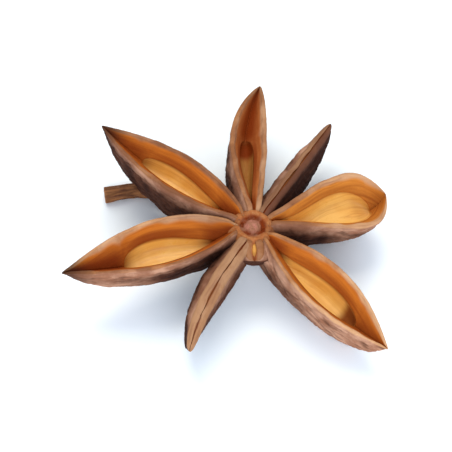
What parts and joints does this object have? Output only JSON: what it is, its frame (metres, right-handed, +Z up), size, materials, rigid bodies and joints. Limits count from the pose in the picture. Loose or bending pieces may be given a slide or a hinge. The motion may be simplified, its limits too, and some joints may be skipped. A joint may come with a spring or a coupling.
{
  "type": "star anise pod",
  "caption": "Dried star-shaped spice pod of boat-shaped follicles, most of them split open and empty, lying on its keels and its broken stalk.",
  "frame": {"origin": "on the table, under the centre of the pod's box; the hub's ring is 2.25 mm towards +X and 1.6 mm towards -Y of it, 5.85 mm up", "axes": "+Z up from the table; -Y towards the aborted stub, the side the pod is seen from; +X towards the blunt follicle"},
  "size_m": [0.0266, 0.0272, 0.0063],
  "materials": {
    "pod": "matte dried husk"
  },
  "bodies": {
    "root": {"star_anise_pod": "pod"}
  },
  "joints": []
}
